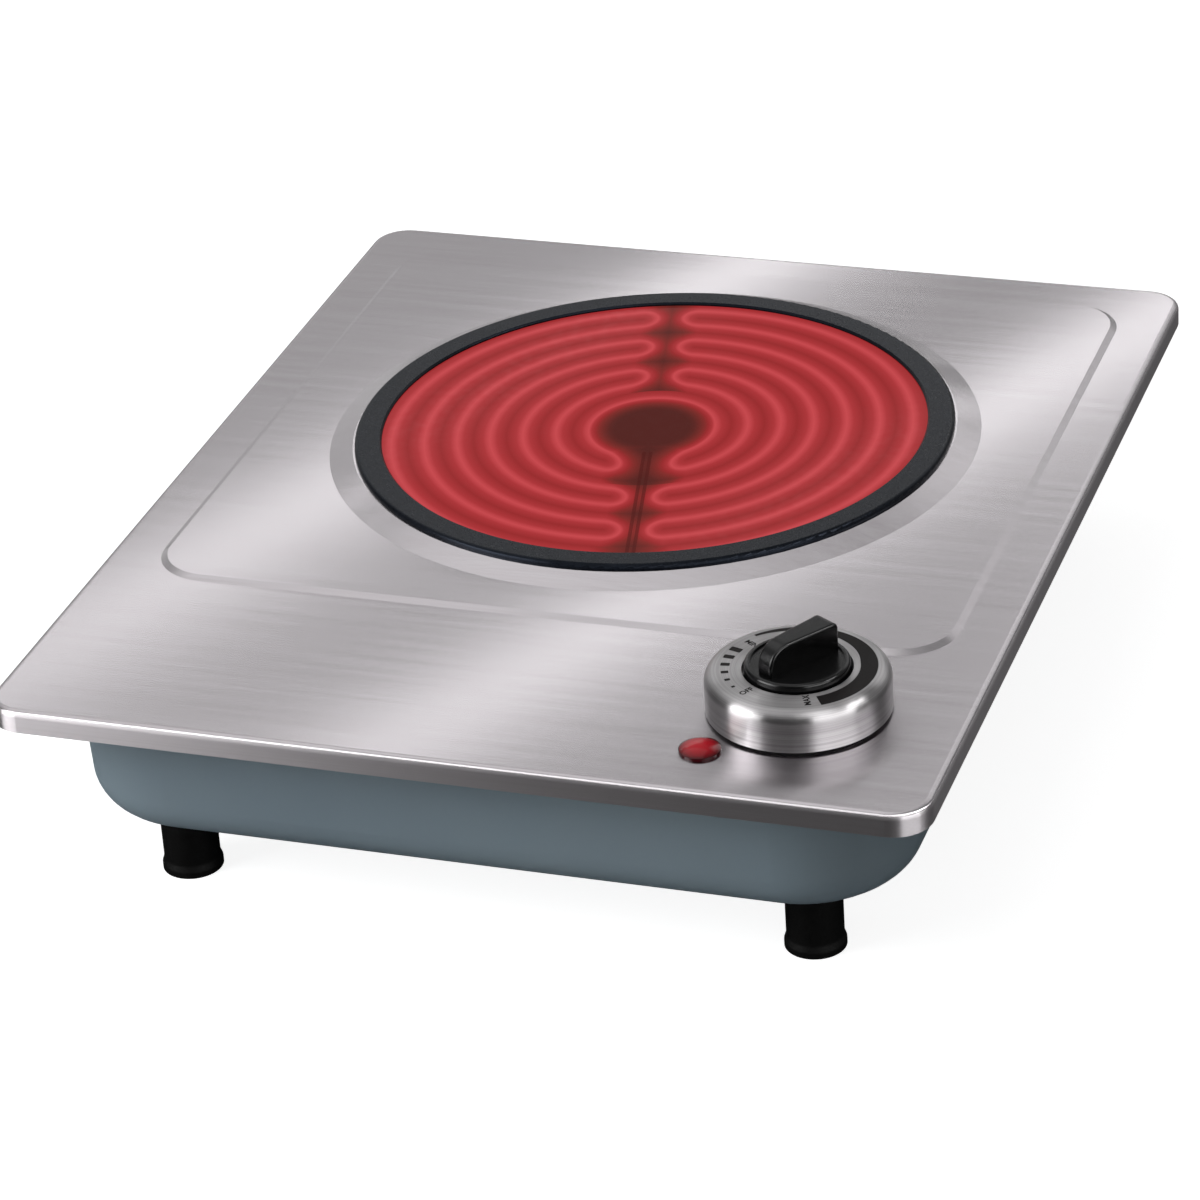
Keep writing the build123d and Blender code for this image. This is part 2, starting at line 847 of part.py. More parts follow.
nodes = {
    "top_plate": top_plate(),
    "body_tub": body_tub(),
    "trim_ring": trim_ring(),
    "glass_plate": burner * disc(glass_radius, glass_bottom, glass_top),
    "glass_seal": glass_seal(),
    "heater_pan": heater_pan(),
    "insulation_base": burner * disc(insulation_radius, base_bottom, base_top),
    "insulation_ring": insulation_ring(),
    "heater_ribbon": heater_ribbon(),
    "heater_terminals": heater_terminals(),
    "limiter_rod": limiter_rod(),
    "limiter_switch": limiter_switch(),
    "heater_bridge": heater_bridge(),
    "dial_bezel": dial_bezel(),
    "bezel_gasket": bezel_gasket(),
    "control_knob": control_knob(),
    "knob_clip": dial * Rot(0, 0, pointer_angle) * knob_clip_form(0),
    "control_spindle": control_spindle(),
    "regulator_frame": regulator_frame(),
    "regulator_body": regulator_body(),
    "regulator_blades": regulator_blades(),
    "lamp_lens": lamp_lens(),
    "lamp_body": lamp_body(),
    "lamp_clip": lamp_clip(),
    "cord_gland": cord_gland(),
    "mains_block": mains_block(),
    "block_screws": block_screws(),
    "earth_stud": earth_stud(),
}

# Bow springs and nuts of the heater bridge
nodes["bow_springs"] = group([burner * Pos(side * spring_offset) * bow_spring() for side in (-1, 1)])
bridge_nut = hex_nut(stud_radius + thread_gap, floor_top + bridge_sheet)
nodes["bridge_nuts"] = group([burner * Pos(side * stud_x) * bridge_nut for side in (-1, 1)])

# Screws that hold the bezel and the regulator through the plate
dial_screw = screw_up(frame_bottom, deck_under + bezel_screw_length)
nodes["dial_screws"] = group([dial * Pos(side * bezel_screw_offset) * dial_screw for side in (-1, 1)])

# Feet with their screws and nuts, and the tie posts with theirs
foot_names = ["foot_front_left", "foot_front_right", "foot_back_left", "foot_back_right"]
for foot_name, (x, y) in zip(foot_names, foot_places()):
    nodes[foot_name] = Pos(x, y) * foot()
foot_screw = screw_up(foot_recess_depth, floor_top + nut_height)
foot_nut = hex_nut(screw_radius + thread_gap, floor_top)
nodes["foot_screws"] = group([Pos(x, y) * foot_screw for x, y in foot_places()])
nodes["foot_nuts"] = group([Pos(x, y) * foot_nut for x, y in foot_places()])
tub_screw = screw_up(floor_bottom, floor_top + post_thread_depth)
nodes["tie_posts"] = group([Pos(x, y) * tie_post() for x, y in post_places()])
nodes["tub_screws"] = group([Pos(x, y) * tub_screw for x, y in post_places()])

# Leads between the mains block, the regulator, the heater and the lamp
block_front = block_y - block_depth / 2
blade_end = regulator_bottom - blade_length
tab_z = base_top + tab_height / 2
heater_blade, live_blade, lamp_left, lamp_right = blade_places()
neutral_x, neutral_y = tab_end(-1)
heater_x, heater_y = tab_end(1)
outward = (split * Pos(0, -1)).position - burner.position
rise = outward * (lead_run / 2)
live_x = entry_x + block_pitch
earth_start = entry_x - block_pitch
nodes["lead_live"] = lead(
    (live_x, block_front, lead_z),
    (live_x, block_front - lead_run, lead_z),
    (live_blade[0], live_blade[1] + lead_run, lead_z),
    (live_blade[0], live_blade[1], lead_z),
    (live_blade[0], live_blade[1], blade_end),
)
nodes["lead_neutral"] = lead(
    (entry_x, block_front, lead_z),
    (entry_x, block_front - lead_run, lead_z),
    (neutral_x + rise.X, neutral_y + rise.Y + lead_run, lead_z),
    (neutral_x + rise.X, neutral_y + rise.Y, lead_z),
    (neutral_x + rise.X, neutral_y + rise.Y, tab_z),
    (neutral_x, neutral_y, tab_z),
)
nodes["lead_heater"] = lead(
    (heater_blade[0], heater_blade[1], blade_end),
    (heater_blade[0], heater_blade[1], lead_z),
    (heater_x + rise.X, heater_y + rise.Y, lead_z),
    (heater_x + rise.X, heater_y + rise.Y, tab_z),
    (heater_x, heater_y, tab_z),
)
nodes["lead_earth"] = lead(
    (earth_start, block_front, lead_z),
    (earth_start, earth_y, lead_z),
    (earth_x + stud_radius, earth_y, lead_z),
)
lamp_end = deck_top - lamp_length - lamp_pin_length
lamp_z = (floor_top + nut_height + blade_end) / 2
lamp_leads = []
for side, (x, y) in ((-1, lamp_left), (1, lamp_right)):
    pin_x = lamp_x + side * lamp_pin_spread / 2
    lamp_leads.append(lead((x, y, blade_end), (x, y, lamp_z), (pin_x, lamp_y, lamp_z), (pin_x, lamp_y, lamp_end)))
nodes["lead_lamp"] = group(lamp_leads)

os.makedirs("parts", exist_ok=True)
for name, shape in nodes.items():
    export_step(shape, f"parts/{name}.step")
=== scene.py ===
from math import cos, pi, radians, sin

import bmesh
import bpy
from mathutils import Matrix, Vector


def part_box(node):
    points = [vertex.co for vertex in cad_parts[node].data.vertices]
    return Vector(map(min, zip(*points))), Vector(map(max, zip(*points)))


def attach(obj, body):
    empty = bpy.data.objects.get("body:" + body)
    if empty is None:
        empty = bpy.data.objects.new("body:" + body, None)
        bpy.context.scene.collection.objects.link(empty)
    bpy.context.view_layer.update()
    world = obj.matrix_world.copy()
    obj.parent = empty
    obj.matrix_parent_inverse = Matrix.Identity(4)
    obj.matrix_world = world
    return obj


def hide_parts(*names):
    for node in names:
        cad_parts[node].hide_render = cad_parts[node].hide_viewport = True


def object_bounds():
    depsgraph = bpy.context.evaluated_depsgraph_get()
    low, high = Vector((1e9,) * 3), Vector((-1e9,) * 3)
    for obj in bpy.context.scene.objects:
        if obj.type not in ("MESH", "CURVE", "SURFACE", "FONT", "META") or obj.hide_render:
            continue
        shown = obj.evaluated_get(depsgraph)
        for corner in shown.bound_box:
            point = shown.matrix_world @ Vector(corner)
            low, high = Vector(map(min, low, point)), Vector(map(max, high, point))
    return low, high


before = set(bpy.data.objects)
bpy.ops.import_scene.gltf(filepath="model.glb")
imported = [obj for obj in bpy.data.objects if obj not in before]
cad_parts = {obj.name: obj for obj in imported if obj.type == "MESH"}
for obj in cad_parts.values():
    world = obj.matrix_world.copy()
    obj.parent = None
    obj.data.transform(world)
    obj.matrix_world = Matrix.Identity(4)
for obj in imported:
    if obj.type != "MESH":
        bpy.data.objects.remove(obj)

cad_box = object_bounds()

# Tub
# A deep-drawn steel tub, sprayed with blue-grey paint and baked to a satin film.
# It closes the underside and hangs from the top plate on four screws.
MM = 0.001
noise_span = {"From Min": 0.3, "From Max": 0.7}


def linear(code):
    """Linear RGBA of an sRGB hex colour."""
    channels = [int(code[i:i + 2], 16) / 255 for i in (1, 3, 5)]
    return [c / 12.92 if c <= 0.04045 else ((c + 0.055) / 1.055) ** 2.4 for c in channels] + [1.0]


def put(tree, kind, inputs=None, **settings):
    """Adds a node, sets its properties, gives each input a value or a link, and returns its outputs."""
    node = tree.nodes.new(kind)
    for name, value in settings.items():
        setattr(node, name, value)
    for key, value in (inputs or {}).items():
        if isinstance(value, bpy.types.NodeSocket):
            tree.links.new(value, node.inputs[key])
        else:
            node.inputs[key].default_value = value
    return node.outputs


def new_finish(name):
    """Empty node material, with its tree and its Object coordinates."""
    material = bpy.data.materials.new(name)
    material.use_nodes = True
    tree = material.node_tree
    tree.nodes.clear()
    return material, tree, put(tree, "ShaderNodeTexCoord")["Object"]


def shade(tree, inputs):
    """Ends a material's tree in one shader with the given inputs."""
    shader = put(tree, "ShaderNodeBsdfPrincipled", inputs)
    put(tree, "ShaderNodeOutputMaterial", {"Surface": shader[0]})


def dress(material, *names):
    """Gives CAD nodes a material."""
    for name in names:
        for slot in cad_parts[name].material_slots:
            slot.material = material


def grained(name, colours, gloss, cloud, speck, skin=None, extras=None):
    """
    Finish with clouds between two colours, specks between two roughnesses, and a skin of fine dents.
    Each pattern has its size and its noise detail, and the skin its depth too.
    """
    material, tree, place = new_finish(name)
    clouds, specks = [
        put(tree, "ShaderNodeTexNoise", {"Vector": place, "Scale": 1 / size, "Detail": detail})["Fac"]
        for size, detail in (cloud, speck)
    ]
    tone = put(tree, "ShaderNodeMapRange", {"Value": clouds, **noise_span})["Result"]
    ends = {"Factor": tone, "A": linear(colours[0]), "B": linear(colours[1])}
    inputs = {
        "Base Color": put(tree, "ShaderNodeMix", ends, data_type="RGBA")["Result"],
        "Roughness": put(tree, "ShaderNodeMapRange", {
            "Value": specks, **noise_span, "To Min": gloss[0], "To Max": gloss[1]
        })["Result"],
        **(extras or {}),
    }
    if skin:
        size, detail, depth = skin
        dents = put(tree, "ShaderNodeTexNoise", {"Vector": place, "Scale": 1 / size, "Detail": detail})["Fac"]
        inputs["Normal"] = put(tree, "ShaderNodeBump", {
            "Height": dents, "Distance": depth, "Strength": 1.0
        })["Normal"]
    shade(tree, inputs)
    return material


# Baked satin paint: an even, slightly cloudy colour over a faint orange peel.
tub_paint = grained(
    "baked_satin_paint",
    colours=("#82939e", "#8c9da7"),
    gloss=(0.34, 0.44),
    cloud=(70 * MM, 2.0),
    speck=(9 * MM, 2.0),
    skin=(1.6 * MM, 1.0, 0.012 * MM),
    extras={"IOR": 1.5},
)
dress(tub_paint, "body_tub")

# Feet and cord grommet
# Black moulded rubber: four feet screwed through the tub's floor, and the grommet in its back wall.
# The mould's fine pebbled texture and a slight grey bloom leave them nearly matt.
rubber = grained(
    "moulded_rubber",
    colours=("#040404", "#090909"),
    gloss=(0.5, 0.68),
    cloud=(12 * MM, 3.0),
    speck=(0.6 * MM, 2.0),
    skin=(0.6 * MM, 2.0, 0.03 * MM),
    extras={"Specular IOR Level": 0.1},
)
dress(rubber, "foot_front_left", "foot_front_right", "foot_back_left", "foot_back_right", "cord_gland")

# Silicone seal and foam washer
# The glass beds on a flat ring of black silicone foam, and the dial on a thin washer of it.
# Both are die-cut and held by pressure alone.
foam_cell = 0.7 * MM
foam_depth = 0.05 * MM


def foam_rubber():
    """Black silicone foam: matt, with small open cells."""
    material, tree, place = new_finish("silicone_foam")
    cells = put(tree, "ShaderNodeTexVoronoi", {"Vector": place, "Scale": 1 / foam_cell})["Distance"]
    ends = {"Factor": cells, "A": linear("#0a0a0a"), "B": linear("#1b1b1b")}
    shade(tree, {
        "Base Color": put(tree, "ShaderNodeMix", ends, data_type="RGBA")["Result"],
        "Roughness": put(tree, "ShaderNodeMapRange", {
            "Value": cells, **noise_span, "To Min": 0.6, "To Max": 0.75
        })["Result"],
        "Normal": put(tree, "ShaderNodeBump", {
            "Height": cells, "Distance": foam_depth, "Strength": 1.0
        })["Normal"],
    })
    return material


dress(foam_rubber(), "glass_seal", "bezel_gasket")

# Bare and plated steel inside
# The heater's dish, its strap, the springs, clips and the regulator's carrier are bare pressed steel.
# Nuts, posts, small screws and the spindle are zinc plated.
steel_scratch = 0.5 * MM
scratch_depth = 0.004 * MM


def sheet_steel(name, dull, bright, crystal_size):
    """Pressed or plated steel: a cloudy crystal pattern of a given size, and fine scratches."""
    material, tree, place = new_finish(name)
    crystal = put(tree, "ShaderNodeTexVoronoi", {"Vector": place, "Scale": 1 / crystal_size})["Color"]
    tone = put(tree, "ShaderNodeSeparateColor", {"Color": crystal})["Red"]
    ends = {"Factor": tone, "A": linear(dull), "B": linear(bright)}
    scratch = put(tree, "ShaderNodeTexNoise", {
        "Vector": place, "Scale": 1 / steel_scratch, "Detail": 4.0
    })["Fac"]
    shade(tree, {
        "Base Color": put(tree, "ShaderNodeMix", ends, data_type="RGBA")["Result"],
        "Metallic": 1.0,
        "Roughness": put(tree, "ShaderNodeMapRange", {
            "Value": scratch, **noise_span, "To Min": 0.3, "To Max": 0.48
        })["Result"],
        "Normal": put(tree, "ShaderNodeBump", {
            "Height": scratch, "Distance": scratch_depth, "Strength": 1.0
        })["Normal"],
    })
    return material


bare_steel = sheet_steel("bare_pressed_steel", "#9c9b9a", "#b7b6b4", 5 * MM)
dress(bare_steel, "heater_pan", "heater_bridge", "bow_springs", "regulator_frame", "lamp_clip", "knob_clip")
zinc_steel = sheet_steel("zinc_plated_steel", "#a9a8a2", "#c6c4bb", 1.2 * MM)
dress(zinc_steel, "bridge_nuts", "foot_nuts", "dial_screws", "tie_posts", "earth_stud", "control_spindle")

# Heater
# A resistance strip stands on pressed fibre insulation and glows orange when it is on.
# A limiter rod crosses it, and its ceramic switch head sits outside the dish.
felt_size = 1.5 * MM
felt_depth = 0.2 * MM
heat_size = 8 * MM


def fibre_board():
    """Pressed mineral fibre: chalky white, felted, with a faint red glow painted in for the strip's light."""
    material, tree, place = new_finish("pressed_fibre")
    felt = put(tree, "ShaderNodeTexNoise", {"Vector": place, "Scale": 1 / felt_size, "Detail": 4.0})["Fac"]
    ends = {"Factor": felt, "A": linear("#cfc6b8"), "B": linear("#eee8dc")}
    shade(tree, {
        "Base Color": put(tree, "ShaderNodeMix", ends, data_type="RGBA")["Result"],
        "Roughness": 0.9,
        "Normal": put(tree, "ShaderNodeBump", {
            "Height": felt, "Distance": felt_depth, "Strength": 1.0
        })["Normal"],
        # Painted glow: the strip's red light on the fibre, put in as the fibre's own emission.
        "Emission Color": linear("#c8331c"),
        "Emission Strength": 0.15,
    })
    return material


def hot_strip():
    """Iron-chrome strip at red heat: it gives its own light, brighter where it runs hotter."""
    material, tree, place = new_finish("glowing_resistance_strip")
    heat = put(tree, "ShaderNodeTexNoise", {"Vector": place, "Scale": 1 / heat_size, "Detail": 2.0})["Fac"]
    ends = {"Factor": heat, "A": linear("#ff5a24"), "B": linear("#ff7b3c")}
    shade(tree, {
        "Base Color": linear("#4a3a34"),
        "Metallic": 1.0,
        "Roughness": put(tree, "ShaderNodeMapRange", {
            "Value": heat, **noise_span, "To Min": 0.5, "To Max": 0.7
        })["Result"],
        "Emission Color": put(tree, "ShaderNodeMix", ends, data_type="RGBA")["Result"],
        "Emission Strength": 1.5,
    })
    return material


dress(fibre_board(), "insulation_base", "insulation_ring")
dress(hot_strip(), "heater_ribbon")

# Fired steatite and quartz: dense and half matt, with faint specks.
fired_surface = {
    "gloss": (0.4, 0.55),
    "cloud": (0.8 * MM, 3.0),
    "speck": (0.8 * MM, 3.0),
    "skin": (0.8 * MM, 3.0, 0.01 * MM),
}
steatite = grained("steatite_white", colours=("#dcd7cb", "#efece4"), **fired_surface)
dress(steatite, "limiter_switch", "mains_block")
quartz = grained("limiter_quartz", colours=("#4a2a24", "#5d342c"), **fired_surface)
dress(quartz, "limiter_rod")

# Contacts
# Stamped brass: the heater's tabs, the regulator's push-on blades and the mains block's screws.
# It is yellow and smooth, lightly tarnished in patches.
brass = grained(
    "stamped_brass",
    colours=("#a98647", "#d3b266"),
    gloss=(0.25, 0.42),
    cloud=(3 * MM, 4.0),
    speck=(3 * MM, 4.0),
    extras={"Metallic": 1.0},
)
dress(brass, "heater_terminals", "regulator_blades", "block_screws")

# Regulator and lamp holder
# The energy regulator's case is dark grey thermoset and the pilot lamp's holder white plastic, both moulded.
# They hang under the plate and carry the push-on wiring.


def moulded_plastic(name, colours, gloss, grit, depth, extras=None):
    """Moulded plastic: even colour with faint flow clouds, and a spark texture of a given grit and depth."""
    return grained(
        name, colours, gloss, cloud=(15 * MM, 2.0), speck=(grit, 2.0), skin=(grit, 2.0, depth), extras=extras
    )


thermoset = moulded_plastic(
    "moulded_thermoset", ("#3a3a3c", "#444447"), gloss=(0.45, 0.6), grit=0.5 * MM, depth=0.01 * MM
)
dress(thermoset, "regulator_body")
lamp_plastic = moulded_plastic(
    "moulded_white_plastic", ("#d6d4cd", "#e2e0da"), gloss=(0.4, 0.5), grit=0.5 * MM, depth=0.008 * MM
)
dress(lamp_plastic, "lamp_body")

# Leads
# Stranded copper in coloured insulation: brown live, blue neutral, green-yellow earth,
# and glass-braided white to the heater and the lamp.
lead_colours = {
    "lead_live": ("#4a2a17", "#5a351f"),
    "lead_neutral": ("#1d3f8c", "#274c9c"),
    "lead_earth": ("#3f7a28", "#b9b93a"),
    "lead_heater": ("#c9c4b6", "#e0dccf"),
    "lead_lamp": ("#c9c4b6", "#e0dccf"),
}
for lead_name, colours in lead_colours.items():
    insulation = moulded_plastic(
        f"wire_{lead_name}", colours, gloss=(0.4, 0.55), grit=0.8 * MM, depth=0.02 * MM
    )
    dress(insulation, lead_name)

# Screws
# Zinc-plated pan-head screws with a cross recess, driven from below: four hold the tub to the plate's posts,
# four hold the feet. One screw is modelled and set at each place.
screw_segments = 32
screw_radius = 2.0 * MM
head_radius = 3.4 * MM
head_height = 2.4 * MM
head_crown = 0.45 * head_height
crown_steps = 6
recess_length = 1.24 * head_radius
recess_width = 0.4 * head_radius
recess_depth = 0.55 * head_height


def screw_mesh(length):
    """Pan-head screw pointing up from its seat at zero, with a cross recess in the head below."""
    section = [(0.0, -head_height)]
    for step in range(crown_steps + 1):
        angle = pi / 2 * step / crown_steps
        across = head_radius - head_crown + head_crown * sin(angle)
        section.append((across, -head_height + head_crown * (1 - cos(angle))))
    section += [(head_radius, 0.0), (screw_radius, 0.0), (screw_radius, length - screw_radius / 2)]
    section += [(screw_radius / 2, length), (0.0, length)]
    form = bmesh.new()
    points = [form.verts.new((across, 0.0, height)) for across, height in section]
    edges = [form.edges.new(pair) for pair in zip(points, points[1:])]
    bmesh.ops.spin(
        form, geom=points + edges, axis=(0, 0, 1), cent=(0, 0, 0), angle=2 * pi, steps=screw_segments
    )
    bmesh.ops.remove_doubles(form, verts=form.verts, dist=1e-7)
    bmesh.ops.recalc_face_normals(form, faces=form.faces)
    mesh = bpy.data.meshes.new("screw_form")
    form.to_mesh(mesh)
    form.free()
    cutter_form = bmesh.new()
    size = Matrix.Diagonal((recess_length, recess_width, 2 * recess_depth, 1.0))
    for turn in (0.0, pi / 2):
        arm = bmesh.ops.create_cube(cutter_form, size=1.0)["verts"]
        place = Matrix.Translation((0, 0, -head_height)) @ Matrix.Rotation(turn, 4, "Z") @ size
        bmesh.ops.transform(cutter_form, matrix=place, verts=arm)
    cutter_mesh = bpy.data.meshes.new("screw_recess")
    cutter_form.to_mesh(cutter_mesh)
    cutter_form.free()
    body = bpy.data.objects.new("screw_form", mesh)
    cutter = bpy.data.objects.new("screw_recess", cutter_mesh)
    bpy.context.scene.collection.objects.link(body)
    bpy.context.scene.collection.objects.link(cutter)
    cut = body.modifiers.new("recess", "BOOLEAN")
    cut.object = cutter
    cut.solver = "EXACT"
    cut.use_self = True
    bpy.context.view_layer.update()
    result = bpy.data.meshes.new_from_object(body.evaluated_get(bpy.context.evaluated_depsgraph_get()))
    bpy.data.objects.remove(body)
    bpy.data.objects.remove(cutter)
    return result


def plain_mesh(thing, name):
    """The evaluated shape of an object as a new object at the origin; the old one goes."""
    bpy.context.view_layer.update()
    mesh = bpy.data.meshes.new_from_object(thing.evaluated_get(bpy.context.evaluated_depsgraph_get()))
    bpy.data.objects.remove(thing)
    piece = bpy.data.objects.new(name, mesh)
    bpy.context.scene.collection.objects.link(piece)
    return piece


def grow_tree(name, inputs):
    """New geometry node tree with named inputs, and the socket of each."""
    tree = bpy.data.node_groups.new(name, "GeometryNodeTree")
    tree.interface.new_socket("Geometry", in_out="INPUT", socket_type="NodeSocketGeometry")
    for title, kind in inputs.items():
        tree.interface.new_socket(title, in_out="INPUT", socket_type=kind)
    tree.interface.new_socket("Geometry", in_out="OUTPUT", socket_type="NodeSocketGeometry")
    return tree, put(tree, "NodeGroupInput")


def end_tree(tree, instances, material):
    """Makes a tree's instances real, gives them a material and sends them out."""
    real = put(tree, "GeometryNodeRealizeInstances", {"Geometry": instances})["Geometry"]
    done = put(tree, "GeometryNodeSetMaterial", {"Geometry": real, "Material": material})["Geometry"]
    put(tree, "NodeGroupOutput", {"Geometry": done})


def run_tree(tree, base_mesh, name, values):
    """Runs a tree on a base mesh with its named inputs set, and returns the plain result."""
    carrier = bpy.data.objects.new(name + "_carrier", base_mesh)
    bpy.context.scene.collection.objects.link(carrier)
    modifier = carrier.modifiers.new("grow", "NODES")
    modifier.node_group = tree
    for item in tree.interface.items_tree:
        if item.in_out == "INPUT" and item.name in values:
            modifier[item.identifier] = values[item.name]
    return plain_mesh(carrier, name)


def screw_tree(material):
    """Sets the carrier's mesh at the four corners of a rectangle."""
    tree, given = grow_tree("screw_set", {
        "Spacing X": "NodeSocketFloat", "Spacing Y": "NodeSocketFloat", "Centre": "NodeSocketVector"
    })
    grid = put(tree, "GeometryNodeMeshGrid", {
        "Size X": given["Spacing X"], "Size Y": given["Spacing Y"], "Vertices X": 2, "Vertices Y": 2
    })["Mesh"]
    moved = put(tree, "GeometryNodeTransform", {"Geometry": grid, "Translation": given["Centre"]})["Geometry"]
    points = put(tree, "GeometryNodeMeshToPoints", {"Mesh": moved})["Points"]
    placed = put(tree, "GeometryNodeInstanceOnPoints", {"Points": points, "Instance": given["Geometry"]})
    end_tree(tree, placed["Instances"], material)
    return tree


screw_setter = screw_tree(zinc_steel)
for screw_node in ("tub_screws", "foot_screws"):
    low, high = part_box(screw_node)
    seat = low.z + head_height
    piece = run_tree(screw_setter, screw_mesh(high.z - seat), screw_node + "_cross", {
        "Spacing X": high.x - low.x - 2 * head_radius,
        "Spacing Y": high.y - low.y - 2 * head_radius,
        "Centre": ((low.x + high.x) / 2, (low.y + high.y) / 2, seat),
    })
    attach(piece, "housing")
    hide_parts(screw_node)

# Top plate
# One stainless sheet, pressed with a raised platform and a collar round the window, its rim turned down.
# It was belt-brushed from side to side, so fine lines run along X and light smears into slanted bands.
brush_length = 45 * MM
brush_line = 0.5 * MM
brush_band = 3.0 * MM
brush_depth = 0.0013 * MM
top_facing = 0.6
top_sheen = (0.847, 0.532, 0.0)
rim_sheen = (0.0, 0.0, 1.0)
rim_roughness = 0.42


def brushed_stainless():
    """Belt-brushed stainless: cool pinkish grey, its lines drawn as coarse as they need to show."""
    material, tree, place = new_finish("brushed_stainless")
    strokes = []
    for length, width, detail in ((brush_length, brush_line, 3.0), (3 * brush_length, brush_band, 2.0)):
        drawn = put(tree, "ShaderNodeMapping", {
            "Vector": place, "Scale": (1 / length, 1 / width, 1 / width)
        })["Vector"]
        strokes.append(put(tree, "ShaderNodeTexNoise", {
            "Vector": drawn, "Scale": 1.0, "Detail": detail
        })["Fac"])
    lines, bands = strokes
    mixed = put(tree, "ShaderNodeMath", {0: lines, 1: bands}, operation="ADD")[0]
    tone = put(tree, "ShaderNodeMath", {0: mixed, 1: 0.5}, operation="MULTIPLY")[0]
    cover = put(tree, "ShaderNodeMapRange", {"Value": tone, **noise_span})["Result"]
    ends = {"Factor": cover, "A": linear("#b9b4b7"), "B": linear("#c2bec1")}
    top_gloss = put(tree, "ShaderNodeMapRange", {
        "Value": tone, **noise_span, "To Min": 0.232, "To Max": 0.254
    })["Result"]
    normal = put(tree, "ShaderNodeNewGeometry")["Normal"]
    facing = put(tree, "ShaderNodeSeparateXYZ", {"Vector": normal})["Z"]
    upward = put(tree, "ShaderNodeMath", {0: facing, 1: top_facing}, operation="GREATER_THAN")[0]
    shade(tree, {
        "Base Color": put(tree, "ShaderNodeMix", ends, data_type="RGBA")["Result"],
        "Metallic": 1.0,
        "Roughness": put(tree, "ShaderNodeMix", {
            "Factor": upward, "A": rim_roughness, "B": top_gloss
        })["Result"],
        "Anisotropic": 0.97,
        "Tangent": put(tree, "ShaderNodeMix", {
            "Factor": upward, "A": rim_sheen, "B": top_sheen
        }, data_type="VECTOR")["Result"],
        "Normal": put(tree, "ShaderNodeBump", {
            "Height": lines, "Distance": brush_depth, "Strength": 1.0
        })["Normal"],
    })
    return material


dress(brushed_stainless(), "top_plate")

# Glass-ceramic window
# A ground disc of dark red glass-ceramic that beds on the seal under the black ring.
# The strip's light through it is painted into the glass as its own glow: seven soft red rings folded along a
# split, and a dark middle.
# Lengths in this section are in millimetres.
window_low, window_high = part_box("glass_plate")
window_centre = (window_low + window_high) / 2
strip_outer = 72.6
strip_pitch = 9.17
strip_rings = 7
inmost_depth = (strip_rings - 1) * strip_pitch
inmost_zone = (strip_rings - 1.5) * strip_pitch
inner_fold_zone = (strip_rings - 2.75) * strip_pitch
outmost_zone = 0.5 * strip_pitch
seen_stretch = 1.03
split_turn = radians(13.4)
turn_start = 3.7 + strip_pitch / 2
inner_turn_start = 7.0 + strip_pitch / 2
terminal_half = 12.0
inner_fall = 2.5
end_fall = 0.9
end_reach = 4.0
waver_size = 2.857
waver = 0.4
rod_start = 14.5
rod_side = 0.9
rod_side_half = 0.5
rod_shade = 0.6
glow_stops = {
    0.0: "#c5474c",
    0.9: "#bb3f44",
    1.9: "#aa3236",
    4.6: "#96282a",
    7.0: "#802926",
    10.0: "#6e2723",
    14.0: "#59231f",
    17.6: "#50211d",
}
glow_reach = max(glow_stops)


def far(tree, one, two):
    """Length of two sides at right angles."""
    sides = put(tree, "ShaderNodeCombineXYZ", {"X": one, "Y": two})["Vector"]
    return put(tree, "ShaderNodeVectorMath", {0: sides}, operation="LENGTH")["Value"]


def ring_pairs(tree, depth, across, first, start):
    """Distance to rings joined in pairs, from a first one, by half circles that start beside the split."""
    below = put(tree, "ShaderNodeMath", {0: depth, 1: (first + 0.5) * strip_pitch}, operation="SUBTRACT")[0]
    off = put(tree, "ShaderNodeMath", {0: below, 1: strip_pitch}, operation="PINGPONG")[0]
    ahead = put(tree, "ShaderNodeMath", {0: start, 1: across}, operation="SUBTRACT")[0]
    past = put(tree, "ShaderNodeMath", {0: ahead, 1: 0.0}, operation="MAXIMUM")[0]
    swung = far(tree, off, past)
    beyond = put(tree, "ShaderNodeMath", {0: swung, 1: strip_pitch / 2}, operation="SUBTRACT")[0]
    share = put(tree, "ShaderNodeMath", {0: past, 1: end_reach}, operation="DIVIDE", use_clamp=True)[0]
    fall = put(tree, "ShaderNodeMath", {0: share, 1: end_fall, 2: 1.0}, operation="MULTIPLY_ADD")[0]
    outside = put(tree, "ShaderNodeMath", {0: beyond, 1: fall}, operation="MULTIPLY")[0]
    inside = put(tree, "ShaderNodeMath", {0: beyond, 1: -1.0}, operation="MULTIPLY")[0]
    return put(tree, "ShaderNodeMath", {0: outside, 1: inside}, operation="MAXIMUM")[0]


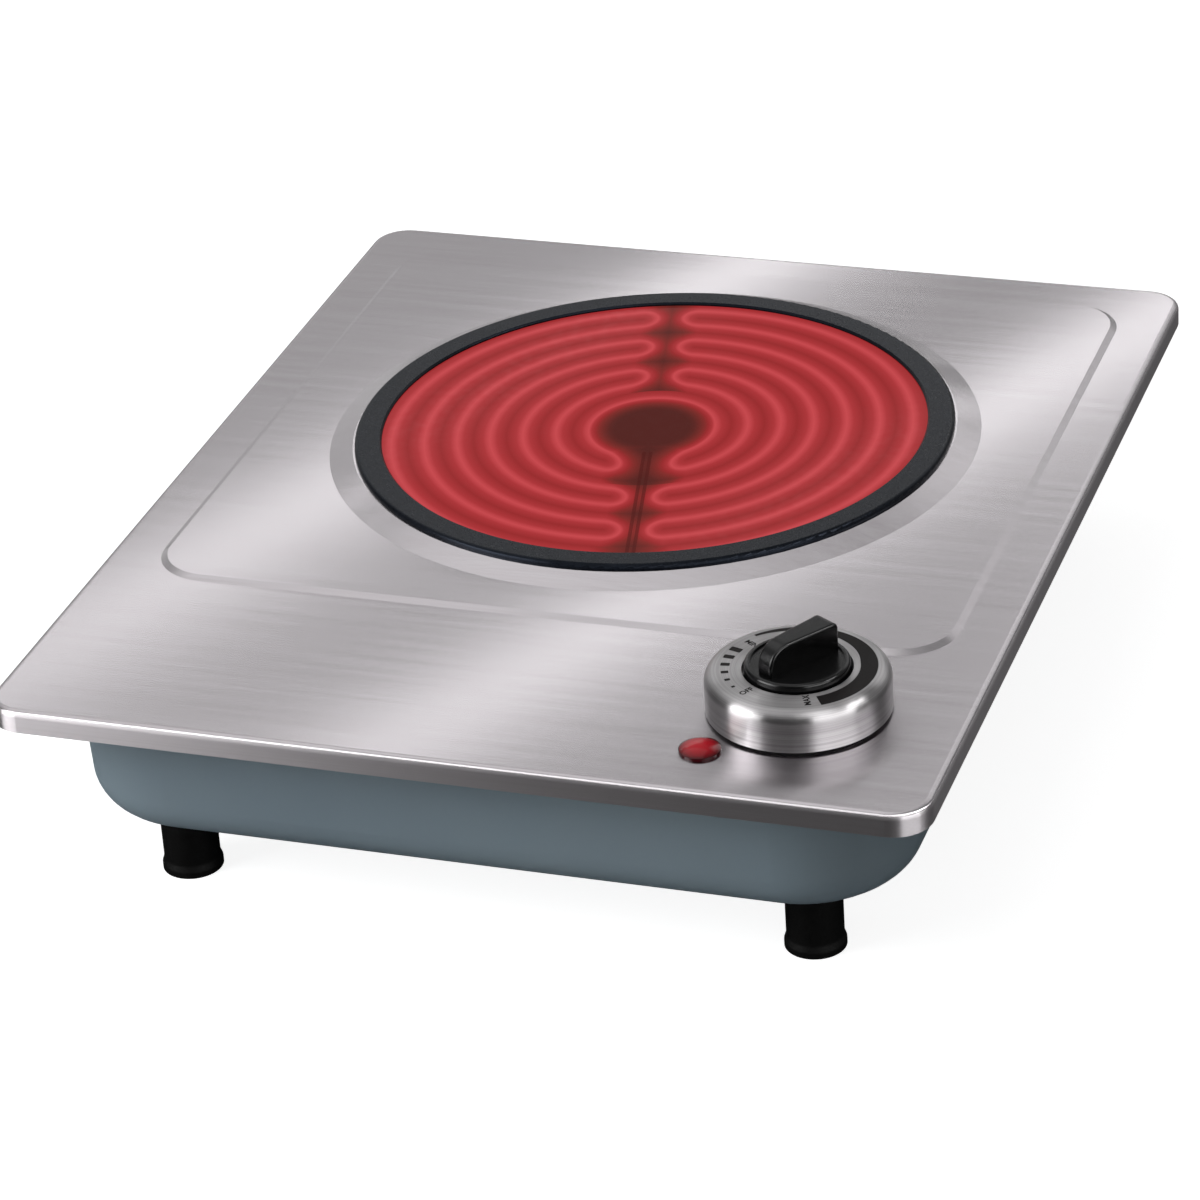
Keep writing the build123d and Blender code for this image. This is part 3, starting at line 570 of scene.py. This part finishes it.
def painted_glow_glass():
    """Glass-ceramic with the strip's light painted in as its own glow, falling off with each point's distance
    to the strip's line.
    """
    material, tree, place = new_finish("lit_glass_ceramic")
    shift = Vector((0.0, (1 - seen_stretch) * strip_outer * MM, 0.0))
    flat = put(tree, "ShaderNodeMapping", {
        "Vector": place, "Location": window_centre + shift, "Scale": (MM, MM * seen_stretch, MM)
    }, vector_type="TEXTURE")["Vector"]
    flat = put(tree, "ShaderNodeMapping", {
        "Vector": flat, "Rotation": (0.0, 0.0, split_turn)
    }, vector_type="TEXTURE")["Vector"]
    axes = put(tree, "ShaderNodeSeparateXYZ", {"Vector": flat})
    across = put(tree, "ShaderNodeMath", {0: axes["X"]}, operation="ABSOLUTE")[0]
    radius = far(tree, axes["X"], axes["Y"])
    depth = put(tree, "ShaderNodeMath", {0: strip_outer, 1: radius}, operation="SUBTRACT")[0]

    # In the back half all rings are in pairs but the inmost one.
    inward = put(tree, "ShaderNodeMath", {0: depth, 1: inmost_depth}, operation="SUBTRACT")[0]
    inmost = put(tree, "ShaderNodeMath", {0: inward}, operation="ABSOLUTE")[0]
    is_inmost = put(tree, "ShaderNodeMath", {0: depth, 1: inmost_zone}, operation="GREATER_THAN")[0]
    back = put(tree, "ShaderNodeMix", {
        "Factor": is_inmost, "A": ring_pairs(tree, depth, across, 0, turn_start), "B": inmost
    })["Result"]

    # In the front half the outmost ring is single and ends at the terminals.
    is_inner = put(tree, "ShaderNodeMath", {0: depth, 1: inner_fold_zone}, operation="GREATER_THAN")[0]
    start = put(tree, "ShaderNodeMix", {"Factor": is_inner, "A": turn_start, "B": inner_turn_start})["Result"]
    ahead = put(tree, "ShaderNodeMath", {0: terminal_half, 1: across}, operation="SUBTRACT")[0]
    gap = put(tree, "ShaderNodeMath", {0: ahead, 1: 0.0}, operation="MAXIMUM")[0]
    is_outmost = put(tree, "ShaderNodeMath", {0: depth, 1: outmost_zone}, operation="LESS_THAN")[0]
    front = put(tree, "ShaderNodeMix", {
        "Factor": is_outmost, "A": ring_pairs(tree, depth, across, 1, start), "B": far(tree, depth, gap)
    })["Result"]

    # The painted glow fades faster in the middle, inside all rings, and a slight waver softens every line.
    at_front = put(tree, "ShaderNodeMath", {0: axes["Y"], 1: 0.0}, operation="LESS_THAN")[0]
    distance = put(tree, "ShaderNodeMix", {"Factor": at_front, "A": back, "B": front})["Result"]
    dimmed = put(tree, "ShaderNodeMath", {0: inward, 1: inner_fall}, operation="MULTIPLY")[0]
    distance = put(tree, "ShaderNodeMath", {0: distance, 1: dimmed}, operation="MAXIMUM")[0]
    shake = put(tree, "ShaderNodeTexNoise", {"Vector": flat, "Scale": 1 / waver_size, "Detail": 2.0})["Fac"]
    sway = put(tree, "ShaderNodeMath", {0: shake, 1: 0.5}, operation="SUBTRACT")[0]
    wavered = put(tree, "ShaderNodeMath", {0: sway, 1: waver, 2: distance}, operation="MULTIPLY_ADD")[0]
    share = put(tree, "ShaderNodeMath", {0: wavered, 1: glow_reach}, operation="DIVIDE")[0]
    light = put(tree, "ShaderNodeValToRGB", {"Fac": share})["Color"]
    stops = light.node.color_ramp.elements
    while len(stops) < len(glow_stops):
        stops.new(0.5)
    for stop, (reach, colour) in zip(stops, glow_stops.items()):
        stop.position = reach / glow_reach
        stop.color = linear(colour)

    # The limiter rod's shadow is painted into the glow as two dark lines, with glow between them.
    # Painted shadow of the rod, laid over the painted glow.
    on_side = put(tree, "ShaderNodeMath", {0: across, 1: rod_side, 2: rod_side_half}, operation="COMPARE")[0]
    along = put(tree, "ShaderNodeMath", {0: axes["Y"], 1: -rod_start}, operation="LESS_THAN")[0]
    on_rod = put(tree, "ShaderNodeMath", {0: along, 1: on_side}, operation="MULTIPLY")[0]
    cover = put(tree, "ShaderNodeMath", {0: on_rod, 1: rod_shade}, operation="MULTIPLY")[0]
    ends = {"Factor": cover, "A": light, "B": linear("#4a1512")}
    # Painted glow: the strip's light below is put in as the glass's own emission.
    shade(tree, {
        "Base Color": linear("#1a0505"),
        "Roughness": put(tree, "ShaderNodeMapRange", {
            "Value": shake, **noise_span, "To Min": 0.1, "To Max": 0.16
        })["Result"],
        "IOR": 1.53,
        "Specular IOR Level": 0.01,
        "Emission Color": put(tree, "ShaderNodeMix", ends, data_type="RGBA")["Result"],
        "Emission Strength": 1.0,
    })
    return material


dress(painted_glow_glass(), "glass_plate")

# Trim ring
# A pressed steel ring in fired satin enamel: deep blue-black, with a soft sheen and tiny ripples.
# It laps the edge of the glass and locates in the plate's bowl.
enamel = grained(
    "satin_black_enamel",
    colours=("#0a0c10", "#101319"),
    gloss=(0.26, 0.36),
    cloud=(2.5 * MM, 2.0),
    speck=(0.5 * MM, 2.0),
    skin=(2.5 * MM, 2.0, 0.01 * MM),
    extras={"Specular IOR Level": 0.15, "Specular Tint": linear("#c4d4f2")},
)
dress(enamel, "trim_ring")

# Dial bezel
# A turned metal cup with a rounded shoulder, brushed round its axis and held by two screws from below.
# Its scale is printed on the flat top in black ink: OFF, growing dashes, MIN, a widening band and MAX.
bezel_low, bezel_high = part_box("dial_bezel")
bezel_centre = (bezel_low + bezel_high) / 2
turning_line = 0.35 * MM
turning_depth = 0.002 * MM


def turned_metal():
    """Brushed round its axis: rings, drawn coarse enough to show, that smear light up and down the wall."""
    material, tree, place = new_finish("turned_brushed_metal")
    centred = put(tree, "ShaderNodeMapping", {
        "Vector": place, "Location": bezel_centre
    }, vector_type="TEXTURE")["Vector"]
    axes = put(tree, "ShaderNodeSeparateXYZ", {"Vector": centred})
    out = far(tree, axes["X"], axes["Y"])
    rings = put(tree, "ShaderNodeCombineXYZ", {"X": out, "Y": axes["Z"]})["Vector"]
    lines = put(tree, "ShaderNodeTexNoise", {
        "Vector": rings, "Scale": 1 / turning_line, "Detail": 3.0
    })["Fac"]
    tone = put(tree, "ShaderNodeMapRange", {"Value": lines, **noise_span})["Result"]
    ends = {"Factor": tone, "A": linear("#949293"), "B": linear("#adabac")}
    shade(tree, {
        "Base Color": put(tree, "ShaderNodeMix", ends, data_type="RGBA")["Result"],
        "Metallic": 1.0,
        "Roughness": put(tree, "ShaderNodeMapRange", {
            "Value": lines, **noise_span, "To Min": 0.29, "To Max": 0.35
        })["Result"],
        "Anisotropic": 0.95,
        "Anisotropic Rotation": 0.25,
        "Tangent": put(tree, "ShaderNodeTangent", direction_type="RADIAL", axis="Z")["Tangent"],
        "Normal": put(tree, "ShaderNodeBump", {
            "Height": lines, "Distance": turning_depth, "Strength": 1.0
        })["Normal"],
    })
    return material


dress(turned_metal(), "dial_bezel")

# Screen-printed black ink: satin, a little uneven in cover.
ink = grained(
    "printed_black_ink",
    colours=("#0e0a0a", "#181212"),
    gloss=(0.4, 0.55),
    cloud=(0.4 * MM, 3.0),
    speck=(0.4 * MM, 3.0),
    extras={"Specular IOR Level": 0.1},
)
ink_height = 0.05 * MM
print_level = bezel_high.z - ink_height / 4
word_size = 2.3 * MM
word_weight = 0.07 * MM
word_radius = 17.0 * MM
scale_words = {"OFF": -122.0, "MIN": 149.0, "MAX": -66.0}


def lay_print(piece):
    """Finishes a printed piece: its ink, body and slot."""
    piece.data.materials.clear()
    piece.data.materials.append(ink)
    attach(piece, "housing")


for word, angle in scale_words.items():
    curve = bpy.data.curves.new("word_" + word.lower(), "FONT")
    curve.body = word
    curve.size = word_size
    curve.align_x = "CENTER"
    curve.align_y = "CENTER"
    curve.extrude = ink_height / 2
    curve.offset = word_weight
    letters = bpy.data.objects.new("letters", curve)
    bpy.context.scene.collection.objects.link(letters)
    piece = plain_mesh(letters, "dial_word_" + word.lower())
    turn = radians(angle)
    centre = Vector((
        bezel_centre.x + word_radius * cos(turn), bezel_centre.y + word_radius * sin(turn), print_level
    ))
    piece.data.transform(Matrix.Translation(centre) @ Matrix.Rotation(turn + pi, 4, "Z"))
    lay_print(piece)


def dash_tree(material):
    """Bars set round an arc, growing from the first to the last."""
    tree, given = grow_tree("dial_dashes", {
        "Centre": "NodeSocketVector",
        "Radius": "NodeSocketFloat",
        "Start": "NodeSocketFloat",
        "Step": "NodeSocketFloat",
        "Count": "NodeSocketInt",
        "First Size": "NodeSocketVector",
        "Growth": "NodeSocketVector",
    })
    line = put(tree, "GeometryNodeMeshLine", {"Count": given["Count"]})["Mesh"]
    index = put(tree, "GeometryNodeInputIndex")[0]
    steps = put(tree, "ShaderNodeMath", {0: index, 1: given["Step"]}, operation="MULTIPLY")[0]
    angle = put(tree, "ShaderNodeMath", {0: steps, 1: given["Start"]}, operation="ADD")[0]
    along = put(tree, "ShaderNodeMath", {0: angle}, operation="COSINE")[0]
    aside = put(tree, "ShaderNodeMath", {0: angle}, operation="SINE")[0]
    spoke = put(tree, "ShaderNodeCombineXYZ", {"X": along, "Y": aside})["Vector"]
    reach = put(tree, "ShaderNodeVectorMath", {0: spoke, "Scale": given["Radius"]}, operation="SCALE")[0]
    spot = put(tree, "ShaderNodeVectorMath", {0: reach, 1: given["Centre"]}, operation="ADD")[0]
    placed = put(tree, "GeometryNodeSetPosition", {"Geometry": line, "Position": spot})["Geometry"]
    grown = put(tree, "ShaderNodeVectorMath", {0: given["Growth"], "Scale": index}, operation="SCALE")[0]
    bars = put(tree, "GeometryNodeInstanceOnPoints", {
        "Points": put(tree, "GeometryNodeMeshToPoints", {"Mesh": placed})["Points"],
        "Instance": given["Geometry"],
        "Rotation": put(tree, "ShaderNodeCombineXYZ", {"Z": angle})["Vector"],
        "Scale": put(tree, "ShaderNodeVectorMath", {0: given["First Size"], 1: grown}, operation="ADD")[0],
    })
    end_tree(tree, bars["Instances"], material)
    return tree


def bar_mesh(corner):
    """Bar of unit size with rounded corners, flat on its bed."""
    form = bmesh.new()
    bmesh.ops.create_cube(form, size=1.0)
    uprights = [edge for edge in form.edges if abs(edge.verts[0].co.z - edge.verts[1].co.z) > 0.5]
    bmesh.ops.bevel(form, geom=uprights, offset=corner, segments=2, affect="EDGES", profile=0.5)
    mesh = bpy.data.meshes.new("dash_bar")
    form.to_mesh(mesh)
    form.free()
    return mesh


dashes = run_tree(dash_tree(ink), bar_mesh(corner=0.12), "dial_dashes", {
    "Centre": (bezel_centre.x, bezel_centre.y, print_level),
    "Radius": 18.3 * MM,
    "Start": radians(-135.0),
    "Step": radians(-12.2),
    "Count": 6,
    "First Size": (1.0 * MM, 0.8 * MM, ink_height),
    "Growth": (0.46 * MM, 0.24 * MM, 0.0),
})
lay_print(dashes)

band_start = radians(139.0)
band_end = radians(-57.0)
band_outer = 20.2 * MM
band_thin = 0.9 * MM
band_thick = 4.4 * MM
band_grown = 0.6
band_steps = 72
form = bmesh.new()
rails = []
for step in range(band_steps + 1):
    share = step / band_steps
    angle = band_start + (band_end - band_start) * share
    width = band_thin + (band_thick - band_thin) * min(share / band_grown, 1.0)
    corners = []
    for reach in (band_outer, band_outer - width):
        for level in (-ink_height / 2, ink_height / 2):
            corners.append(form.verts.new((
                bezel_centre.x + reach * cos(angle), bezel_centre.y + reach * sin(angle), print_level + level
            )))
    rails.append(corners)
for one, two in zip(rails, rails[1:]):
    for a, b in ((0, 1), (1, 3), (3, 2), (2, 0)):
        form.faces.new((one[a], one[b], two[b], two[a]))
for end in (rails[0], rails[-1]):
    form.faces.new((end[0], end[1], end[3], end[2]))
bmesh.ops.recalc_face_normals(form, faces=form.faces)
band_mesh = bpy.data.meshes.new("dial_heat_band")
form.to_mesh(band_mesh)
form.free()
band = bpy.data.objects.new("dial_heat_band", band_mesh)
bpy.context.scene.collection.objects.link(band)
lay_print(band)

# Knob
# One glossy black thermoset moulding, pushed on the regulator's spindle over a spring clip.
# It turns clockwise from OFF; its sloped nose points at the scale.
knob_plastic = moulded_plastic(
    "gloss_black_moulding",
    ("#0a0a0b", "#101011"),
    gloss=(0.18, 0.24),
    grit=0.9 * MM,
    depth=0.002 * MM,
    extras={"Specular IOR Level": 0.3},
)
dress(knob_plastic, "control_knob")

# Pilot lamp
# A clear red moulded lens, snapped into the plate from above over its holder.
# It is lit from behind while the heater is on; that light is painted into the lens as its own glow.
lens_low, lens_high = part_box("lamp_lens")
lens_centre = (lens_low + lens_high) / 2
lens_radius = (lens_high.x - lens_low.x) / 2
lens_edge = 2.5
lens_ripple = 1 * MM


def red_lens():
    """Clear red plastic over a small lamp: its colour and its painted glow darken towards the rim, with a wet
    gloss.
    """
    material, tree, place = new_finish("clear_red_lens")
    centred = put(tree, "ShaderNodeMapping", {
        "Vector": place, "Location": lens_centre
    }, vector_type="TEXTURE")["Vector"]
    axes = put(tree, "ShaderNodeSeparateXYZ", {"Vector": centred})
    out = far(tree, axes["X"], axes["Y"])
    share = put(tree, "ShaderNodeMath", {0: out, 1: lens_radius}, operation="DIVIDE")[0]
    share = put(tree, "ShaderNodeMath", {0: share, 1: lens_edge}, operation="POWER")[0]
    ripple = put(tree, "ShaderNodeTexNoise", {
        "Vector": place, "Scale": 1 / lens_ripple, "Detail": 2.0
    })["Fac"]
    # Base colour and painted glow both darken towards the rim.
    body_ends = {"Factor": share, "A": linear("#b00d1e"), "B": linear("#3a0208")}
    painted_glow_ends = {"Factor": share, "A": linear("#c81124"), "B": linear("#2c0207")}
    shade(tree, {
        "Base Color": put(tree, "ShaderNodeMix", body_ends, data_type="RGBA")["Result"],
        "Roughness": put(tree, "ShaderNodeMapRange", {
            "Value": ripple, **noise_span, "To Min": 0.06, "To Max": 0.12
        })["Result"],
        "IOR": 1.49,
        "Specular IOR Level": 0.25,
        "Emission Color": put(tree, "ShaderNodeMix", painted_glow_ends, data_type="RGBA")["Result"],
        "Emission Strength": 0.2,
    })
    return material


dress(red_lens(), "lamp_lens")

# Floor and studio
# A pale floor with a soft shadow under the part, in a dim studio that is bright behind; both read white.
# Lamps that are for shine light reflections alone: they set the bright bands on the metal.
floor_size = 12.0
floor_lift = 0.88


def pale_floor():
    """White floor: pale and matt, lifted to white for the eye, and clear from below to show the underside."""
    material, tree, _ = new_finish("pale_floor")
    path = put(tree, "ShaderNodeLightPath")
    ends = {"Factor": path["Is Glossy Ray"], "A": linear("#c8c8c8"), "B": linear("#4a4a4a")}
    pale = put(tree, "ShaderNodeMix", ends, data_type="RGBA")["Result"]
    lift = put(tree, "ShaderNodeMath", {0: path["Is Camera Ray"], 1: floor_lift}, operation="MULTIPLY")[0]
    lit = put(tree, "ShaderNodeAddShader", {
        0: put(tree, "ShaderNodeBsdfDiffuse", {"Color": pale})[0],
        1: put(tree, "ShaderNodeEmission", {"Strength": lift})[0],
    })[0]
    whole = put(tree, "ShaderNodeMixShader", {
        "Fac": put(tree, "ShaderNodeNewGeometry")["Backfacing"],
        1: lit,
        2: put(tree, "ShaderNodeBsdfTransparent", {"Color": linear("#ffffff")})[0],
    })[0]
    put(tree, "ShaderNodeOutputMaterial", {"Surface": whole})
    return material


floor_form = bmesh.new()
bmesh.ops.create_grid(floor_form, x_segments=1, y_segments=1, size=floor_size / 2)
floor_mesh = bpy.data.meshes.new("floor")
floor_form.to_mesh(floor_mesh)
floor_form.free()
floor_mesh.materials.append(pale_floor())
floor = bpy.data.objects.new("floor", floor_mesh)
scene = bpy.context.scene
scene.collection.objects.link(floor)

# The studio as reflections see it: each share runs along an axis, from one place and level to another.
studio_level = 0.3
studio_shares = {
    "behind": ("Y", -0.6, 0.0, 0.03, 1.0),
    "leftward": ("X", 0.1, -0.5, 0.36, 0.85),
    "far_left": ("X", -0.95, -0.72, 0.1, 1.0),
    "above": ("Z", 0.55, 0.8, 0.0, 0.45),
}
scene.view_settings.view_transform = "Standard"
world = bpy.data.worlds.new("studio")
scene.world = world
world.use_nodes = True
sky = world.node_tree
sky.nodes.clear()
ray = put(sky, "ShaderNodeLightPath")
toward = put(sky, "ShaderNodeSeparateXYZ", {"Vector": put(sky, "ShaderNodeTexCoord")["Generated"]})
shares = {}
for share_name, (axis, start, end, low, high) in studio_shares.items():
    shares[share_name] = put(sky, "ShaderNodeMapRange", {
        "Value": toward[axis], "From Min": start, "From Max": end, "To Min": low, "To Max": high
    })["Result"]
backdrop = put(sky, "ShaderNodeMath", {0: shares["behind"], 1: shares["leftward"]}, operation="MULTIPLY")[0]
backdrop = put(sky, "ShaderNodeMath", {0: backdrop, 1: shares["far_left"]}, operation="MULTIPLY")[0]
backdrop = put(sky, "ShaderNodeMath", {0: backdrop, 1: shares["above"]}, operation="MAXIMUM")[0]
mirrored = put(sky, "ShaderNodeMath", {
    0: ray["Is Glossy Ray"], 1: ray["Is Transmission Ray"]
}, operation="MAXIMUM")[0]
unseen = put(sky, "ShaderNodeMix", {"Factor": mirrored, "A": studio_level, "B": backdrop})["Result"]
brightness = put(sky, "ShaderNodeMix", {"Factor": ray["Is Camera Ray"], "A": unseen, "B": 1.0})["Result"]
put(sky, "ShaderNodeOutputWorld", {"Surface": put(sky, "ShaderNodeBackground", {"Strength": brightness})[0]})

middle = (cad_box[0] + cad_box[1]) / 2
upright = (0.0, 0.0, 1.0)
lengthwise = (0.0, 1.0, 0.0)
slanted = (0.786, 0.494, -0.371)


def softbox(name, place, length_axis, size, glow, aim=middle, for_shine=False):
    """Rectangular lamp of a given brightness that faces a point; for shine, only reflections see it."""
    lamp = bpy.data.lights.new(name, "AREA")
    lamp.shape = "RECTANGLE"
    lamp.size, lamp.size_y = size
    lamp.energy = glow * pi * size[0] * size[1]
    away = (Vector(place) - Vector(aim)).normalized()
    aside = Vector(length_axis).cross(away).normalized()
    turn = Matrix((aside, away.cross(aside), away)).transposed().to_4x4()
    holder = bpy.data.objects.new(name, lamp)
    holder.matrix_world = Matrix.Translation(place) @ turn
    holder.visible_camera = False
    holder.visible_diffuse = not for_shine
    scene.collection.objects.link(holder)


softbox("overhead", (-0.45, 0.25, 1.4), lengthwise, (1.2, 1.3), 0.6)
softbox("key", (-0.72, -0.6, 0.5), upright, (0.5, 0.6), 5.2)
softbox("shine_left", (-0.7, -0.74, 0.32), upright, (0.75, 0.6), 4.3, for_shine=True)
softbox("shine_right", (0.93, -0.62, 0.32), upright, (1.0, 0.6), 4.2, for_shine=True)
softbox("shine_front", (-0.3, -0.75, 1.3), lengthwise, (1.0, 0.3), 1.4, for_shine=True)
softbox("shine_high", (0.95, 0.1, 0.95), lengthwise, (0.2, 0.5), 14.0, for_shine=True)
softbox("shine_back", (0.27, 0.84, 0.6), upright, (0.7, 0.4), 0.9, for_shine=True)
softbox("shine_edge", (0.52, -0.47, 1.07), lengthwise, (0.7, 0.7), 2.5, for_shine=True)
softbox("strip_left", (-0.26, 0.522, 0.332), slanted, (0.018, 0.6), 2.6, aim=(-0.06, 0.025, 0.063))
softbox("strip_right", (-0.125, 0.472, 0.349), slanted, (0.018, 0.6), 2.6, aim=(0.04, -0.03, 0.063))

# Camera
# A long lens above the front right corner, tilted a little.
# Its direction and distance follow the photograph's view.
camera_azimuth = radians(20.05)
camera_elevation = radians(28.89)
camera_roll = radians(-3.91)
camera_distance = 1.3194
camera_target = Vector((-7.87, -1.77, 26.8)) * MM
camera_lens = 142.3
back_axis = Vector((
    sin(camera_azimuth) * cos(camera_elevation),
    -cos(camera_azimuth) * cos(camera_elevation),
    sin(camera_elevation),
))
level_axis = Vector((cos(camera_azimuth), sin(camera_azimuth), 0.0))
raised_axis = back_axis.cross(level_axis)
right_axis = cos(camera_roll) * level_axis + sin(camera_roll) * raised_axis
up_axis = cos(camera_roll) * raised_axis - sin(camera_roll) * level_axis
lens = bpy.data.cameras.new("camera")
lens.lens = camera_lens
lens.sensor_width = 36.0
lens.sensor_fit = "HORIZONTAL"
lens.clip_start = 0.05
lens.clip_end = 50.0
camera = bpy.data.objects.new("camera", lens)
scene.collection.objects.link(camera)
turn = Matrix((right_axis, up_axis, back_axis)).transposed().to_4x4()
camera.matrix_world = Matrix.Translation(camera_target + back_axis * camera_distance) @ turn
scene.camera = camera
